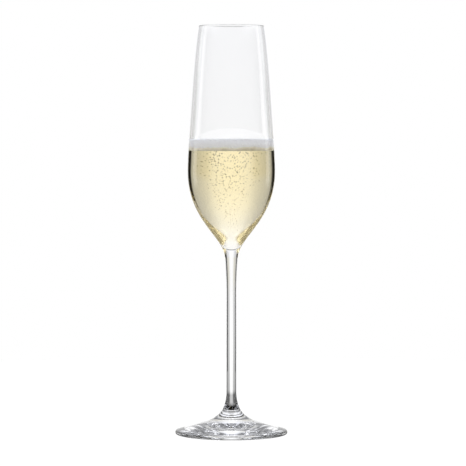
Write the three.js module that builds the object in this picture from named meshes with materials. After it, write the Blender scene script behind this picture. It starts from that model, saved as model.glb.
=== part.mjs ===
// A champagne flute with wine in it, in millimetres, +Z up, with the origin on the table under the
// middle of the foot. Three glass pieces are fused end to end: a pressed foot, a drawn stem and a
// blown bowl. The wine and the froth on it are solids of their own. Every piece is a body of
// revolution, drawn as half of its section (r, z) and turned about Z.
import * as THREE from 'three';

// Driving dimensions
const SEGMENTS = 48; // facets round the axis
const GAP = 0.3; // left between neighbouring pieces

const FOOT_R = 35;
const FOOT_EDGE = 2.6; // thickness where the cone meets the edge
const FOOT_EDGE_ROUND = 1.2;
const REST_RING_R = 29; // inside of the flat ring that stands on the table
const HOLLOW_DEPTH = 3;
const CONE_TOP_R = 13.4;
const CONE_TOP_Z = 8.7;
const FOOT_TOP_Z = 27;

const STEM_R = 3.05;
const STEM_FLARE_Z = 84;
const STEM_TOP_R = 4;
const BOWL_BASE_Z = 110;

const BELLY_R = 27.2; // the bowl's widest ring
const BELLY_Z = 164;
const BELLY_WALL = 1.2;
const RIM_R = 20.25;
const RIM_Z = 254;
const RIM_WALL = 1;
const THROAT_R = 5.6; // where the wall turns into the floor of the cavity
const THROAT_Z = 120.3;
const CAVITY_Z = 115.3; // lowest point of the cavity

const WINE_Z = 176.4;
const FROTH_Z = 183.7;
const FROTH_DISH = 1; // how much lower the froth is in its middle

const glass = () => new THREE.MeshStandardMaterial({
  color: 0xf4f6f6, roughness: 0.03, transparent: true, opacity: 0.35,
});
const wine = () => new THREE.MeshStandardMaterial({
  color: 0xf3e2ab, roughness: 0.05, transparent: true, opacity: 0.7,
});
const foam = () => new THREE.MeshStandardMaterial({ color: 0xd9d8dc, roughness: 0.6 });

// Turns a section about Z. Its points run up the outside, and start and end on the axis.
function turned(name, points, material) {
  const geometry = new THREE.LatheGeometry(points, SEGMENTS);
  geometry.rotateX(Math.PI / 2);
  const mesh = new THREE.Mesh(geometry, material);
  mesh.name = name;
  return mesh;
}

// The foot: a shallow hollow below, the flat ring that it rests on, a rounded edge, a low cone, and
// a sweep up to the stem.
function foot() {
  const section = new THREE.Path();
  section.moveTo(0, HOLLOW_DEPTH);
  section.quadraticCurveTo(REST_RING_R / 2, HOLLOW_DEPTH, REST_RING_R, 0);
  section.lineTo(FOOT_R - FOOT_EDGE_ROUND, 0);
  section.quadraticCurveTo(FOOT_R, 0, FOOT_R, FOOT_EDGE / 2);
  section.quadraticCurveTo(FOOT_R, FOOT_EDGE - 0.4, FOOT_R - FOOT_EDGE_ROUND, FOOT_EDGE);
  section.lineTo(CONE_TOP_R, CONE_TOP_Z);
  section.bezierCurveTo(9.55, 10.8, STEM_R, 13.3, STEM_R, FOOT_TOP_Z);
  section.lineTo(0, FOOT_TOP_Z);
  return turned('foot', section.getPoints(8), glass());
}

// The stem: a plain rod that widens towards the bowl.
function stem() {
  const top = BOWL_BASE_Z - GAP;
  const section = new THREE.Path();
  section.moveTo(0, FOOT_TOP_Z + GAP);
  section.lineTo(STEM_R, FOOT_TOP_Z + GAP);
  section.lineTo(STEM_R, STEM_FLARE_Z);
  section.bezierCurveTo(STEM_R, 99, 3.6, 104.5, STEM_TOP_R, top);
  section.lineTo(0, top);
  return turned('stem', section.getPoints(8), glass());
}

// The inside of the bowl, from the bottom of the cavity up to the lip.
function cavityWall() {
  const wall = new THREE.Path();
  const r = BELLY_R - BELLY_WALL;
  wall.moveTo(0, CAVITY_Z);
  wall.bezierCurveTo(2.6, CAVITY_Z, 3.7, 117.6, THROAT_R, THROAT_Z);
  wall.bezierCurveTo(13.9, 132, r, 142.4, r, BELLY_Z);
  wall.bezierCurveTo(r, 174.4, 22.1, 239, RIM_R - RIM_WALL, RIM_Z - RIM_WALL / 2);
  return wall.getPoints(9);
}

// The bowl: a shell that is thick below and thin above, with a rounded lip.
function bowl() {
  const lip = RIM_Z - RIM_WALL / 2;
  const outside = new THREE.Path();
  outside.moveTo(0, BOWL_BASE_Z);
  outside.lineTo(STEM_TOP_R, BOWL_BASE_Z);
  outside.bezierCurveTo(4.8, 123.5, BELLY_R, 132.5, BELLY_R, BELLY_Z);
  outside.bezierCurveTo(BELLY_R, 174.4, 23.1, 239, RIM_R, lip);
  const round = new THREE.Path();
  round.absarc(RIM_R - RIM_WALL / 2, lip, RIM_WALL / 2, 0, Math.PI);
  const over = round.getPoints(3).slice(1, -1);
  return turned('bowl', [...outside.getPoints(10), ...over, ...cavityWall().reverse()], glass());
}

// The side of what is in the bowl, between two heights, GAP inside the cavity's wall.
function filledSide(low, high) {
  const side = cavityWall().map((p) => new THREE.Vector2(Math.max(p.x - GAP, 0), p.y + GAP));
  const at = (z) => {
    const i = side.findIndex((p) => p.y > z);
    const [a, b] = [side[i - 1], side[i]];
    return a.clone().lerp(b, (z - a.y) / (b.y - a.y));
  };
  const start = low > side[0].y ? [at(low)] : [];
  return [...start, ...side.filter((p) => p.y >= low && p.y < high), at(high)];
}

// The wine, flat on top.
function champagne() {
  const side = filledSide(CAVITY_Z, WINE_Z);
  return turned('champagne', [...side, new THREE.Vector2(0, WINE_Z)], wine());
}

// The froth: a layer on the wine that climbs a little at the glass.
function froth() {
  const bottom = WINE_Z + GAP;
  const side = filledSide(bottom, FROTH_Z);
  const middle = FROTH_Z - FROTH_DISH;
  const edge = side[side.length - 1];
  const dish = new THREE.Path();
  dish.moveTo(edge.x, edge.y);
  dish.quadraticCurveTo(edge.x - 4, middle, 0, middle);
  const section = [new THREE.Vector2(0, bottom), ...side, ...dish.getPoints(6).slice(1)];
  return turned('froth', section, foam());
}

const flute = new THREE.Group();
flute.name = 'champagne_flute';
flute.add(foot(), stem(), bowl(), champagne(), froth());

export default flute;
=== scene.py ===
"""The looks of a champagne flute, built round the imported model, in metres.

The foot, stem and bowl are closed glass bodies that meet face to face. The faces where they meet are
clear, so light crosses a joint as it does in fused glass. Where the wine wets the bowl, the glass has
the wine's side of the refraction, and the wine itself only tints what shines through it.
"""

import math
import random

import bpy
import bmesh
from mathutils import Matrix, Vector


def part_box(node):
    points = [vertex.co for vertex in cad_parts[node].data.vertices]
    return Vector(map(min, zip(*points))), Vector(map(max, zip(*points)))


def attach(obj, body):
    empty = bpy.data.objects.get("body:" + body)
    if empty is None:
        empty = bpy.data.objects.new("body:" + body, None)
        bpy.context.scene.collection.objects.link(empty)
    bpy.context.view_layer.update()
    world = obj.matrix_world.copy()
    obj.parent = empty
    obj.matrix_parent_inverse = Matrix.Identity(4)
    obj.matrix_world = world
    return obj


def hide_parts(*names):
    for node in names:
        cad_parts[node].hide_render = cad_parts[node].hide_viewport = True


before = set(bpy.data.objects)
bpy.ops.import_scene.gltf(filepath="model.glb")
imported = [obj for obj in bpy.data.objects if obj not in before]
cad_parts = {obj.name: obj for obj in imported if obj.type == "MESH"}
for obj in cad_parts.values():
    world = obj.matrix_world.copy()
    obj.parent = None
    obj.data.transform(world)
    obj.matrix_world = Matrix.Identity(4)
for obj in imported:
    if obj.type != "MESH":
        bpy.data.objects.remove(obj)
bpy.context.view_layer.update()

MM = 0.001
FINE = 256  # segments round the axis
GLASS_IOR = 1.52
WINE_IOR = 1.344

# Heights and radii that the frame gives, in millimetres
foot_low, foot_high = (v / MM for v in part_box("foot"))
stem_low, stem_high = (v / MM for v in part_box("stem"))
bowl_low, bowl_high = (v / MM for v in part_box("bowl"))
wine_low, wine_high = (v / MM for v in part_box("champagne"))
froth_low, froth_high = (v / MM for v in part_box("froth"))

FOOT_R = foot_high.x
FOOT_JOINT_Z = (foot_high.z + stem_low.z) / 2
BOWL_JOINT_Z = (stem_high.z + bowl_low.z) / 2
RIM_Z = bowl_high.z
BELLY_R = bowl_high.x
WINE_Z = (wine_high.z + froth_low.z) / 2
FROTH_Z = froth_high.z

# The rest of the section, as in the part's own source
FOOT_EDGE = 2.6
FOOT_EDGE_ROUND = 1.2
REST_RING_R = 29.0
HOLLOW_DEPTH = 3.0
CONE_TOP_R, CONE_TOP_Z = 13.4, 8.7
STEM_R = 3.05
STEM_FLARE_Z = 84.0
STEM_TOP_R = 4.0
BELLY_Z = 164.0
BELLY_WALL = 1.2
RIM_R = 20.25
RIM_WALL = 1.0
THROAT_R, THROAT_Z = 5.6, 120.3
CAVITY_Z = 115.3
FROTH_DISH = 1.0
FROTH_CLIMB = 4.0  # width of the ring where the froth climbs the glass
LIP_Z = RIM_Z - RIM_WALL / 2

# The strings of bubbles in the wine, and the bubbles on the froth
STRINGS = 46
STRING_SEED = 23
SPREAD = 16.0
BUBBLE_LOW = 121.0
STRING_START = 6.0  # the lowest start of a string over BUBBLE_LOW, and how far up the others start
STRING_RANGE = 42
BUBBLE_CLEAR = 1.2  # kept free between a bubble and the glass
FROTH_BUBBLES = 330
FROTH_SEED = 5


# ---------------------------------------------------------------- sections and meshes
def curve(*points, steps=32):
    """Points of a quadratic or cubic Bezier curve through (r, z) handles, without the first."""
    def at(t):
        p = [Vector(q) for q in points]
        while len(p) > 1:
            p = [a.lerp(b, t) for a, b in zip(p, p[1:])]
        return tuple(p[0])
    return [at(i / steps) for i in range(1, steps + 1)]


def arc(centre, radius, start, end, steps=12):
    """Points of a round arc in the section, without the first; angles in degrees."""
    turns = [math.radians(start + (end - start) * i / steps) for i in range(1, steps + 1)]
    return [(centre[0] + radius * math.cos(a), centre[1] + radius * math.sin(a)) for a in turns]


def cavity_wall():
    """The inside of the bowl, from the bottom of the cavity up to the lip."""
    r = BELLY_R - BELLY_WALL
    return [
        (0.0, CAVITY_Z),
        *curve((0, CAVITY_Z), (2.6, CAVITY_Z), (3.7, 117.6), (THROAT_R, THROAT_Z), steps=20),
        *curve((THROAT_R, THROAT_Z), (13.9, 132), (r, 142.4), (r, BELLY_Z), steps=48),
        *curve((r, BELLY_Z), (r, 174.4), (22.1, 239), (RIM_R - RIM_WALL, LIP_Z), steps=60),
    ]


def wall_radius(z):
    """Radius of the cavity at height z, in millimetres."""
    wall = cavity_wall()
    for (ra, za), (rb, zb) in zip(wall, wall[1:]):
        if za <= z <= zb:
            return ra + (rb - ra) * (z - za) / (zb - za)
    return wall[-1][0]


def wall_between(low, high, inset=0.0):
    """The cavity's wall between two heights, moved inset towards the axis."""
    inner = [p for p in cavity_wall() if low < p[1] < high]
    ends = (wall_radius(low), low), (wall_radius(high), high)
    return [(max(r - inset, 0.0), z) for r, z in (ends[0], *inner, ends[1])]


def turned(name, section, materials, slot_of=None, sharp=(), segments=FINE):
    """A closed body of revolution. section starts and ends on the axis and runs up the outside.
    slot_of(r, z) picks a material for the middle of each band; sharp lists section points with a crease."""
    bm = bmesh.new()
    rings = []
    for r, z in section:
        if r < 1e-6:
            rings.append([bm.verts.new((0, 0, z * MM))])
            continue
        turns = (2 * math.pi * i / segments for i in range(segments))
        rings.append([bm.verts.new((r * math.cos(a) * MM, r * math.sin(a) * MM, z * MM)) for a in turns])
    for k, (low, high) in enumerate(zip(rings, rings[1:])):
        r, z = ((a + b) / 2 for a, b in zip(section[k], section[k + 1]))
        slot = slot_of(r, z) if slot_of else 0
        for i in range(segments):
            j = (i + 1) % segments
            corners = [low[i % len(low)], low[j % len(low)], high[j % len(high)], high[i % len(high)]]
            face = bm.faces.new(list(dict.fromkeys(corners)))
            face.smooth = True
            face.material_index = slot
    for k in sharp:
        ring = set(rings[k])
        for v in rings[k]:
            for e in v.link_edges:
                if e.other_vert(v) in ring:
                    e.smooth = False
    mesh = bpy.data.meshes.new(name)
    bm.to_mesh(mesh)
    bm.free()
    for m in materials:
        mesh.materials.append(m)
    made = bpy.data.objects.new(name, mesh)
    bpy.context.scene.collection.objects.link(made)
    return made


# ---------------------------------------------------------------- materials
def material(name):
    """A new material with its Principled shader, its nodes and its links."""
    made = bpy.data.materials.new(name)
    made.use_nodes = True
    nodes, links = made.node_tree.nodes, made.node_tree.links
    return made, nodes["Principled BSDF"], nodes, links


def glass(name, ior, waves):
    """Polished glass. waves is the strength of the faint unevenness that drawn and pressed glass has, and
    its polish varies a little too."""
    made, shader, nodes, links = material(name)
    shader.inputs["Base Color"].default_value = (1, 1, 1, 1)
    shader.inputs["Transmission Weight"].default_value = 1.0
    shader.inputs["IOR"].default_value = ior
    where = nodes.new("ShaderNodeTexCoord")
    uneven = nodes.new("ShaderNodeTexNoise")
    uneven.inputs["Scale"].default_value = 55
    uneven.inputs["Detail"].default_value = 1.5
    bump = nodes.new("ShaderNodeBump")
    bump.inputs["Strength"].default_value = waves
    bump.inputs["Distance"].default_value = 0.0002
    smears = nodes.new("ShaderNodeTexNoise")
    smears.inputs["Scale"].default_value = 140
    smears.inputs["Detail"].default_value = 4
    polish = nodes.new("ShaderNodeMapRange")
    polish.inputs["From Min"].default_value = 0.45
    polish.inputs["From Max"].default_value = 0.8
    polish.inputs["To Min"].default_value = 0.0
    polish.inputs["To Max"].default_value = 0.02
    links.new(where.outputs["Object"], uneven.inputs["Vector"])
    links.new(where.outputs["Object"], smears.inputs["Vector"])
    links.new(uneven.outputs["Fac"], bump.inputs["Height"])
    links.new(smears.outputs["Fac"], polish.inputs["Value"])
    links.new(bump.outputs["Normal"], shader.inputs["Normal"])
    links.new(polish.outputs["Result"], shader.inputs["Roughness"])
    return made


def clear_joint():
    """The face where two glass pieces are fused: light goes straight through it."""
    made, shader, _, _ = material("fused_joint")
    shader.inputs["Alpha"].default_value = 0.0
    return made


def wine():
    """The wine only absorbs, and is a little cloudier in places; the glass round it has the refraction."""
    made, shader, nodes, links = material("pale_wine")
    shader.inputs["Roughness"].default_value = 0.0
    shader.inputs["Transmission Weight"].default_value = 1.0
    shader.inputs["IOR"].default_value = 1.0
    where = nodes.new("ShaderNodeTexCoord")
    clouds = nodes.new("ShaderNodeTexNoise")
    clouds.inputs["Scale"].default_value = 70
    clouds.inputs["Detail"].default_value = 3
    clear = nodes.new("ShaderNodeMapRange")
    clear.inputs["To Min"].default_value = 0.97
    clear.inputs["To Max"].default_value = 1.0
    links.new(where.outputs["Object"], clouds.inputs["Vector"])
    links.new(clouds.outputs["Fac"], clear.inputs["Value"])
    links.new(clear.outputs["Result"], shader.inputs["Base Color"])
    absorb = nodes.new("ShaderNodeVolumeAbsorption")
    absorb.inputs["Color"].default_value = (0.985, 0.78, 0.04, 1)
    absorb.inputs["Density"].default_value = 12.0
    links.new(absorb.outputs["Volume"], nodes["Material Output"].inputs["Volume"])
    return made


def froth_material(name, shades):
    """Fine wet foam: light soaks into it, its colour follows its height, and its bubbles show close up,
    each painted lighter in the middle and darker at the rim as painted shade. It also glows faintly, as
    painted light.
    """
    made, shader, nodes, links = material(name)
    where = nodes.new("ShaderNodeTexCoord")
    split = nodes.new("ShaderNodeSeparateXYZ")
    height = nodes.new("ShaderNodeMapRange")
    height.inputs["From Min"].default_value = WINE_Z * MM
    height.inputs["From Max"].default_value = FROTH_Z * MM
    height.inputs["To Min"].default_value = -0.15
    height.inputs["To Max"].default_value = 0.85
    drift = nodes.new("ShaderNodeTexNoise")
    drift.inputs["Scale"].default_value = 160
    drift.inputs["Detail"].default_value = 3
    cells = nodes.new("ShaderNodeTexVoronoi")
    cells.inputs["Scale"].default_value = 800
    uneven = nodes.new("ShaderNodeMath")
    uneven.operation = "MULTIPLY_ADD"
    uneven.inputs[1].default_value = 0.35
    shade = nodes.new("ShaderNodeValToRGB")
    stops = shade.color_ramp.elements
    while len(stops) < len(shades):
        stops.new(0.5)
    for stop, (position, colour) in zip(stops, shades):
        stop.position = position
        stop.color = (*colour, 1)
    links.new(where.outputs["Object"], split.inputs["Vector"])
    links.new(where.outputs["Object"], drift.inputs["Vector"])
    links.new(where.outputs["Object"], cells.inputs["Vector"])
    links.new(split.outputs["Z"], height.inputs["Value"])
    links.new(drift.outputs["Fac"], uneven.inputs[0])
    links.new(height.outputs["Result"], uneven.inputs[2])
    links.new(uneven.outputs[0], shade.inputs["Fac"])
    # Painted shade: each foam cell is lighter in its middle and darker towards its rim, where the dips
    # between the bubbles lie
    rim_shade = nodes.new("ShaderNodeMapRange")
    rim_shade.inputs["From Max"].default_value = 0.8
    rim_shade.inputs["To Min"].default_value = 1.05
    rim_shade.inputs["To Max"].default_value = 0.9
    cell_shaded = nodes.new("ShaderNodeVectorMath")
    cell_shaded.operation = "MULTIPLY"
    links.new(cells.outputs["Distance"], rim_shade.inputs["Value"])
    links.new(shade.outputs["Color"], cell_shaded.inputs[0])
    links.new(rim_shade.outputs["Result"], cell_shaded.inputs[1])
    links.new(cell_shaded.outputs["Vector"], shader.inputs["Base Color"])
    rough = nodes.new("ShaderNodeMapRange")
    rough.inputs["To Min"].default_value = 0.35
    rough.inputs["To Max"].default_value = 0.6
    links.new(drift.outputs["Fac"], rough.inputs["Value"])
    links.new(rough.outputs["Result"], shader.inputs["Roughness"])
    bump = nodes.new("ShaderNodeBump")
    bump.invert = True
    bump.inputs["Strength"].default_value = 0.8
    bump.inputs["Distance"].default_value = 0.0005
    links.new(cells.outputs["Distance"], bump.inputs["Height"])
    links.new(bump.outputs["Normal"], shader.inputs["Normal"])
    # Painted light: the froth glows faintly in its own colour, though it is no lamp
    links.new(cell_shaded.outputs["Vector"], shader.inputs["Emission Color"])
    shader.inputs["Emission Strength"].default_value = FROTH_GLOW
    shader.inputs["IOR"].default_value = 1.08
    shader.inputs["Transmission Weight"].default_value = 0.45
    return made


def bubble_material():
    """A gas bubble in the wine: the refraction runs the other way, so its edge looks dark; its shell is
    also tinted a dark olive, as painted shade.
    """
    made = bpy.data.materials.new("bubble_gas")
    made.use_nodes = True
    nodes, links = made.node_tree.nodes, made.node_tree.links
    nodes.remove(nodes["Principled BSDF"])
    shell = nodes.new("ShaderNodeBsdfGlass")
    shell.inputs["Roughness"].default_value = 0.0
    # Painted shade: the gas bubble's shell is tinted a dark olive, so the dots look darker
    shell.inputs["Color"].default_value = (0.58, 0.45, 0.18, 1)
    shell.inputs["IOR"].default_value = 1 / WINE_IOR
    links.new(shell.outputs["BSDF"], nodes["Material Output"].inputs["Surface"])
    return made


# Painted light: foam passes light on from bubble to bubble, and a faint glow over all the froth stands in
# for that
FROTH_GLOW = 0.21
# Froth colour from the wine's surface up: straw where it is wet, then a cool white
FROTH_SHADES = [
    (0.0, (0.56, 0.49, 0.27)), (0.26, (0.88, 0.83, 0.68)),
    (0.42, (0.95, 0.95, 0.97)), (1.0, (0.97, 0.98, 1.0)),
]
# Painted light: underneath, where it lies on the wine, the froth is painted near white, for the light that
# has come down through it
UNDER_LIT_SHADES = [(0.0, (0.98, 0.98, 1.0)), (1.0, (0.95, 0.96, 1.0))]
CRYSTAL = glass("clear_crystal", GLASS_IOR, 0.03)
WETTED = glass("wetted_crystal", GLASS_IOR / WINE_IOR, 0.03)
JOINT = clear_joint()
WINE = wine()
FROTH = froth_material("fine_froth", FROTH_SHADES)
# The froth's underside, with its colour painted paler as painted light
FROTH_UNDER = froth_material("froth_underside", UNDER_LIT_SHADES)
BUBBLE = bubble_material()


# ---------------------------------------------------------------- pieces
def foot():
    """The low cone with its hollow underneath and the ring it rests on."""
    edge_r = FOOT_R - FOOT_EDGE_ROUND
    section = [
        (0.0, HOLLOW_DEPTH),
        *curve((0, HOLLOW_DEPTH), (REST_RING_R / 2, HOLLOW_DEPTH), (REST_RING_R, 0), steps=24),
        *curve((REST_RING_R, 0), (edge_r, 0), steps=4),
        *curve((edge_r, 0), (FOOT_R, 0), (FOOT_R, FOOT_EDGE / 2), steps=10),
        *curve((FOOT_R, FOOT_EDGE / 2), (FOOT_R, FOOT_EDGE - 0.4), (edge_r, FOOT_EDGE), steps=10),
        *curve((edge_r, FOOT_EDGE), (CONE_TOP_R, CONE_TOP_Z), steps=16),
        *curve((CONE_TOP_R, CONE_TOP_Z), (9.55, 10.8), (STEM_R, 13.3), (STEM_R, FOOT_JOINT_Z), steps=40),
        (0.0, FOOT_JOINT_Z),
    ]
    on_joint = lambda r, z: int(z > FOOT_JOINT_Z - 1e-3)
    return turned("foot_glass", section, [CRYSTAL, JOINT], on_joint, sharp=[len(section) - 2])


def stem():
    """The solid rod, flared where it meets the bowl."""
    section = [
        (0.0, FOOT_JOINT_Z),
        (STEM_R, FOOT_JOINT_Z),
        *curve((STEM_R, FOOT_JOINT_Z), (STEM_R, STEM_FLARE_Z), steps=12),
        *curve((STEM_R, STEM_FLARE_Z), (STEM_R, 99), (3.6, 104.5), (STEM_TOP_R, BOWL_JOINT_Z), steps=32),
        (0.0, BOWL_JOINT_Z),
    ]
    on_joint = lambda r, z: int(z < FOOT_JOINT_Z + 1e-3 or z > BOWL_JOINT_Z - 1e-3)
    return turned("stem_glass", section, [CRYSTAL, JOINT], on_joint, sharp=[1, len(section) - 2])


def bowl():
    """The shell, outside and inside. Its wall is wetted up to the top of the froth."""
    outside = [
        (0.0, BOWL_JOINT_Z),
        (STEM_TOP_R, BOWL_JOINT_Z),
        *curve((STEM_TOP_R, BOWL_JOINT_Z), (4.8, 123.5), (BELLY_R, 132.5), (BELLY_R, BELLY_Z), steps=64),
        *curve((BELLY_R, BELLY_Z), (BELLY_R, 174.4), (23.1, 239), (RIM_R, LIP_Z), steps=60),
        *arc((RIM_R - RIM_WALL / 2, LIP_Z), RIM_WALL / 2, 0, 180),
    ]
    wall = cavity_wall()[:-1] + [(wall_radius(FROTH_Z), FROTH_Z)]
    section = outside + sorted(wall, key=lambda p: (-p[1], -p[0]))

    def slot_of(r, z):
        if z < BOWL_JOINT_Z + 1e-3:
            return 1
        return 2 if CAVITY_Z - 1e-3 < z < FROTH_Z and r < wall_radius(max(z, CAVITY_Z)) + 0.05 else 0
    return turned("bowl_glass", section, [CRYSTAL, JOINT, WETTED], slot_of, sharp=[1])


def champagne():
    """The wine, a hair inside the wall."""
    side = wall_between(CAVITY_Z, WINE_Z, inset=0.02)
    section = [(0.0, CAVITY_Z + 0.02), *side[1:], (0.0, WINE_Z)]
    return turned("champagne_wine", section, [WINE], sharp=[len(section) - 2])


def froth():
    """The layer of foam, dished at the top."""
    low = WINE_Z + 0.01
    side = wall_between(low, FROTH_Z, inset=0.05)
    edge = side[-1]
    middle = FROTH_Z - FROTH_DISH
    section = [(0.0, low), *side, *curve(edge, (edge[0] - FROTH_CLIMB, middle), (0, middle), steps=16)]
    under = lambda r, z: int(z < low + 1e-3)
    return turned("froth_layer", section, [FROTH, FROTH_UNDER], under, sharp=[1])


def froth_top(r):
    """Height of the froth's dished top at radius r."""
    edge = wall_radius(FROTH_Z) - 0.05
    flat = edge - FROTH_CLIMB
    if r < flat:
        return FROTH_Z - FROTH_DISH * (1 - (r / flat) ** 2 * 0.3)
    return FROTH_Z - FROTH_DISH * 0.7 * ((edge - r) / FROTH_CLIMB) ** 2


def balls(name, places, paint):
    """One mesh of small round bubbles; places holds (x, y, z, radius) in millimetres."""
    bm = bmesh.new()
    bmesh.ops.create_icosphere(bm, subdivisions=2, radius=1)
    unit = [v.co.copy() for v in bm.verts]
    corners = [[v.index for v in f.verts] for f in bm.faces]
    bm.free()
    points, faces = [], []
    for x, y, z, r in places:
        first = len(points)
        points += [((x + r * u.x) * MM, (y + r * u.y) * MM, (z + r * u.z) * MM) for u in unit]
        faces += [[first + k for k in face] for face in corners]
    mesh = bpy.data.meshes.new(name)
    mesh.from_pydata(points, [], faces)
    mesh.shade_smooth()
    mesh.materials.append(paint)
    made = bpy.data.objects.new(name, mesh)
    bpy.context.scene.collection.objects.link(made)
    return made


def wine_bubbles():
    """Loose strings of bubbles that rise from the bottom of the bowl, spread out and grow on the way."""
    dice = random.Random(STRING_SEED)
    places = []
    for _ in range(STRINGS):
        turn = dice.uniform(0, 2 * math.pi)
        reach = SPREAD * math.sqrt(dice.random())
        z = BUBBLE_LOW + STRING_START + dice.random() ** 0.8 * STRING_RANGE
        sway = dice.uniform(0, 2 * math.pi)
        while z < WINE_Z - 1.0:
            rise = (z - BUBBLE_LOW) / (WINE_Z - BUBBLE_LOW)
            out = 0.6 + reach * rise ** 1.1
            x = out * math.cos(turn) + 0.5 * math.sin(sway + 9 * rise) + dice.gauss(0, 0.3 + 3.0 * rise)
            y = out * math.sin(turn) + 0.5 * math.cos(sway + 7 * rise) + dice.gauss(0, 0.3 + 3.0 * rise)
            size = 0.08 + 0.04 * rise + 0.16 * rise * dice.random() + 0.04 * dice.random()
            if math.hypot(x, y) < wall_radius(z) - BUBBLE_CLEAR:
                places.append((x, y, z, size))
            z += dice.uniform(1.6, 3.6) + 1.2 * rise * dice.random()
    return balls("wine_bubbles", places, BUBBLE)


def froth_bubbles():
    """Larger bubbles that stand half out of the froth, most of them in a ring against the glass."""
    dice = random.Random(FROTH_SEED)
    edge = wall_radius(FROTH_Z) - 0.1
    places = []
    for k in range(FROTH_BUBBLES):
        size = dice.uniform(0.22, 0.5)
        r = edge - size - (0 if k % 3 else dice.random() ** 1.6 * 20)
        turn = dice.uniform(0, 2 * math.pi)
        z = min(froth_top(r) - 0.1 * size, FROTH_Z - 0.75 * size)
        places.append((r * math.cos(turn), r * math.sin(turn), z, size))
    return balls("froth_bubbles", places, FROTH)


# ---------------------------------------------------------------- studio
def look_at(thing, target):
    """Turn thing so that it faces target."""
    thing.rotation_euler = (Vector(target) - thing.location).to_track_quat("-Z", "Y").to_euler()


def camera():
    """A long lens a little above the froth, tilted down to take in the whole glass."""
    data = bpy.data.cameras.new("camera")
    data.lens = LENS
    data.sensor_width = 36
    data.clip_end = 50
    made = bpy.data.objects.new("camera", data)
    bpy.context.scene.collection.objects.link(made)
    made.location = CAMERA_FROM
    look_at(made, CAMERA_AT)
    bpy.context.scene.camera = made
    return made


def stage_mesh(name, bm, paint):
    """A studio object from bm, with its material. It isn't part of the glass."""
    mesh = bpy.data.meshes.new(name)
    bm.to_mesh(mesh)
    bm.free()
    mesh.materials.append(paint)
    made = bpy.data.objects.new(name, mesh)
    bpy.context.scene.collection.objects.link(made)
    return made


def ramp(nodes, stops):
    """A brightness ramp over 0 to 180 degrees, from (degrees, brightness) stops."""
    made = nodes.new("ShaderNodeValToRGB")
    elements = made.color_ramp.elements
    while len(elements) < len(stops):
        elements.new(0.5)
    for element, (degrees, value) in zip(elements, stops):
        element.position = degrees / 180
        element.color = (value, value, value, 1)
    return made


def math_node(nodes, links, operation, *values):
    """One sum on values, each a number or another node's output."""
    made = nodes.new("ShaderNodeMath")
    made.operation = operation
    for k, value in enumerate(values):
        if isinstance(value, bpy.types.NodeSocket):
            links.new(value, made.inputs[k])
        else:
            made.inputs[k].default_value = value
    return made.outputs[0]


def light_tent(rig):
    """A round tent of light on the camera's rig: a bright window behind the glass, dark flags beside it,
    and soft light from above. It follows the camera round the glass, and also nearer or farther."""
    paint = bpy.data.materials.new("tent_light")
    paint.use_nodes = True
    nodes, links = paint.node_tree.nodes, paint.node_tree.links
    nodes.remove(nodes["Principled BSDF"])
    where = nodes.new("ShaderNodeTexCoord")
    unit = nodes.new("ShaderNodeVectorMath")
    unit.operation = "NORMALIZE"
    split = nodes.new("ShaderNodeSeparateXYZ")
    links.new(where.outputs["Object"], unit.inputs[0])
    links.new(unit.outputs["Vector"], split.inputs["Vector"])
    x, y, z = (split.outputs[k] for k in "XYZ")
    side = math_node(nodes, links, "ARCTAN2", x, y)
    side = math_node(nodes, links, "ABSOLUTE", side)
    side = math_node(nodes, links, "DIVIDE", side, math.pi)
    rise = math_node(nodes, links, "ARCCOSINE", math_node(nodes, links, "MULTIPLY", z, -1.0))
    rise = math_node(nodes, links, "DIVIDE", rise, math.pi)

    def level(stops, by):
        made = ramp(nodes, stops)
        links.new(by, made.inputs["Fac"])
        return made.outputs["Color"]

    total = math_node(nodes, links, "MULTIPLY", level(TENT_ROUND, side), level(TENT_RISE, rise))
    for across, upward in (
        (LOW_ROUND, LOW_RISE), (STRIP_ROUND, STRIP_RISE), (FILL_ROUND, FILL_RISE), (BACK_ROUND, BACK_RISE),
    ):
        part = math_node(nodes, links, "MULTIPLY", level(across, side), level(upward, rise))
        total = math_node(nodes, links, "ADD", total, part)
    sky = nodes.new("ShaderNodeMapRange")
    sky.inputs["From Min"].default_value = 0.5
    sky.inputs["From Max"].default_value = 0.72
    tint = nodes.new("ShaderNodeMix")
    tint.data_type = "RGBA"
    tint.inputs["A"].default_value = (1, 1, 1, 1)
    tint.inputs["B"].default_value = (0.98, 1, 1.08, 1)
    light = nodes.new("ShaderNodeEmission")
    links.new(rise, sky.inputs["Value"])
    links.new(sky.outputs["Result"], tint.inputs["Factor"])
    warm = nodes.new("ShaderNodeMix")
    warm.data_type = "RGBA"
    warm.blend_type = "MULTIPLY"
    warm.inputs["B"].default_value = (1, 0.975, 0.88, 1)
    warmth = math_node(nodes, links, "MULTIPLY", level(WARM_ROUND, side), level(WARM_RISE, rise))
    links.new(warmth, warm.inputs["Factor"])
    links.new(tint.outputs["Result"], warm.inputs["A"])
    links.new(warm.outputs["Result"], light.inputs["Color"])
    links.new(total, light.inputs["Strength"])
    links.new(light.outputs["Emission"], nodes["Material Output"].inputs["Surface"])
    bm = bmesh.new()
    bmesh.ops.create_uvsphere(bm, u_segments=64, v_segments=32, radius=TENT_R)
    made = stage_mesh("light_tent", bm, paint)
    made.visible_camera = False
    made.location = (0, 0, TENT_Z)
    made.parent = rig
    made.matrix_parent_inverse = rig.matrix_world.inverted()
    return made


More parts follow.
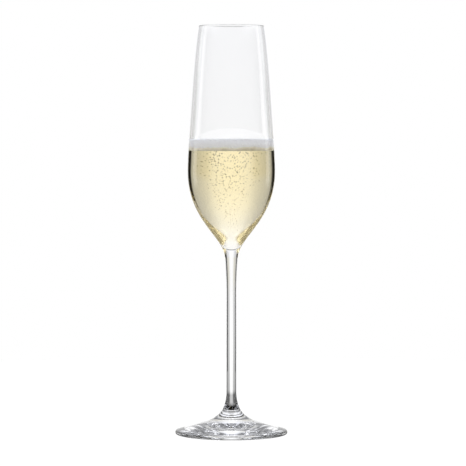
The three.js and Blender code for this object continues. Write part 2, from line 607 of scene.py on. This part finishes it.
def card(name, rig, x, far):
    """A black card beside the glass, edge on to the camera, that draws the wine's dark outline. Beside the
    stem only its far part is left, and its far end rises over the wine's level. It keeps its distance
    from the camera, so its place beside the wine is right for the main camera's distance only."""
    paint, shader, _, _ = material(name)
    shader.inputs["Base Color"].default_value = (0.01, 0.01, 0.01, 1)
    shader.inputs["Specular IOR Level"].default_value = 0.0
    level = (WINE_Z + CARD_OVER) * MM
    outline = [
        (CARD_NEAR, CARD_THROAT), (CARD_STEM, CARD_THROAT), (CARD_STEM, CARD_FOOT), (far, CARD_FOOT),
        (far, level + CARD_TAIL), (far - CARD_SLOPE, level), (CARD_NEAR, level),
    ]
    bm = bmesh.new()
    bm.faces.new([bm.verts.new((x, y, z)) for y, z in outline])
    made = stage_mesh(name, bm, paint)
    made.visible_camera = False
    made.parent = rig
    made.matrix_parent_inverse = rig.matrix_world.inverted()
    return made


def backdrop():
    """The plain white paper behind the glass, for the camera."""
    world = bpy.data.worlds.new("studio")
    bpy.context.scene.world = world
    world.use_nodes = True
    world.node_tree.nodes["Background"].inputs["Color"].default_value = (1, 1, 1, 1)


def floor():
    """A white light table: it shines evenly, so the glass throws no shadow on it."""
    bm = bmesh.new()
    bmesh.ops.create_circle(bm, cap_ends=True, radius=0.5, segments=96)
    paint, shader, nodes, links = material("pale_floor")
    shader.inputs["Base Color"].default_value = (0, 0, 0, 1)
    shader.inputs["Roughness"].default_value = 1.0
    shader.inputs["Emission Color"].default_value = (1, 1, 1, 1)
    shader.inputs["Emission Strength"].default_value = 1.0
    made = stage_mesh("floor", bm, paint)
    made.visible_glossy = False
    made.visible_transmission = False
    return made


# The camera's lens in millimetres, its place and what it looks at
LENS = 197.7
CAMERA_FROM = (0.001, -1.59, 0.198)
CAMERA_AT = (0.001, 0, 0.1253)
# Radius of the tent, and height of its middle
TENT_R = 1.2
TENT_Z = 0.13
# Brightness of the tent round the glass, by degrees to the left and right of straight behind it
TENT_ROUND = [
    (0, 1.09), (6, 1.07), (12, 0.98), (18, 0.80), (24, 0.70), (30, 0.66), (42, 0.6), (48, 0.05),
    (76, 0.03), (84, 0.03), (180, 0.02),
]
# Its share by height, and the light from above, by degrees from straight down
TENT_RISE = [(0, 0), (74, 0.05), (81, 0.8), (85, 1.0), (115, 1.03), (128, 1.2), (136, 0.3), (180, 0.3)]
# The table's glow behind the foot, and black to its sides
LOW_ROUND = [(0, 0.6), (9, 0.55), (15, 0.12), (60, 0.08), (180, 0.08)]
LOW_RISE = [(0, 0), (42, 0.02), (52, 0.6), (60, 1), (78, 1), (85, 0), (180, 0)]
# Two upright light strips beyond the dark flags, and how far up and down they reach
STRIP_ROUND = [(0, 0), (58, 0), (62, 1.35), (74, 1.35), (78, 0), (180, 0)]
STRIP_RISE = [(0, 0), (78, 0), (84, 1), (94, 1), (98, 0.6), (120, 0.6), (180, 0.6)]
# A patch of light on each side above the flags, that shows through the sides of the foot
BACK_ROUND = [(0, 0), (48, 0), (52, 1), (61, 1), (64, 0), (180, 0)]
BACK_RISE = [(0, 0), (98, 0), (101, 0.8), (111, 0.8), (116, 0), (180, 0)]
# Soft light from the sides and above, that lights the froth
FILL_ROUND = [(0, 0), (42, 0), (54, 1), (120, 1), (138, 0), (180, 0)]
FILL_RISE = [(0, 0), (108, 0), (118, 1.2), (130, 4.0), (180, 4.6)]
# Where the tent is warm white instead of white
WARM_ROUND = [(0, 0), (11, 0), (17, 1), (33, 1), (42, 0), (180, 0)]
WARM_RISE = [(0, 0), (84, 0), (87, 1), (91, 1), (94, 0), (180, 0)]
# The black cards: distance from the axis, near end beside the wine, and near end beside the stem
CARD_X = 0.055
CARD_NEAR = 0.02
CARD_STEM = 0.062
# Heights of their lower edges, beside the wine and farther back
CARD_THROAT = 0.116
CARD_FOOT = 0.03
# Their rise over the wine in millimetres, and over that at the far end in metres
CARD_OVER = 1.0
CARD_TAIL = 0.02
# Length of the slope up to the far end, and how far behind the axis the left and right cards end
CARD_SLOPE = 0.01
CARD_FAR_LEFT, CARD_FAR_RIGHT = 0.075, 0.084

scene = bpy.context.scene
scene.view_settings.view_transform = "Standard"
scene.cycles.max_bounces = 32
scene.cycles.transmission_bounces = 32
scene.cycles.transparent_max_bounces = 32
scene.cycles.glossy_bounces = 12

glass_foot, glass_stem, glass_bowl = foot(), stem(), bowl()
wine_body, froth_body = champagne(), froth()
for piece, node in (
    (glass_foot, "foot"), (glass_stem, "stem"), (glass_bowl, "bowl"),
    (wine_body, "champagne"), (froth_body, "froth"),
):
    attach(piece, "root")
    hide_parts(node)
for piece, slot in ((wine_bubbles(), "champagne"), (froth_bubbles(), "froth")):
    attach(piece, "root")

rig = camera()
bpy.context.view_layer.update()
backdrop()
floor()
light_tent(rig)
card("left_card", rig, -CARD_X, CARD_FAR_LEFT)
card("right_card", rig, CARD_X, CARD_FAR_RIGHT)
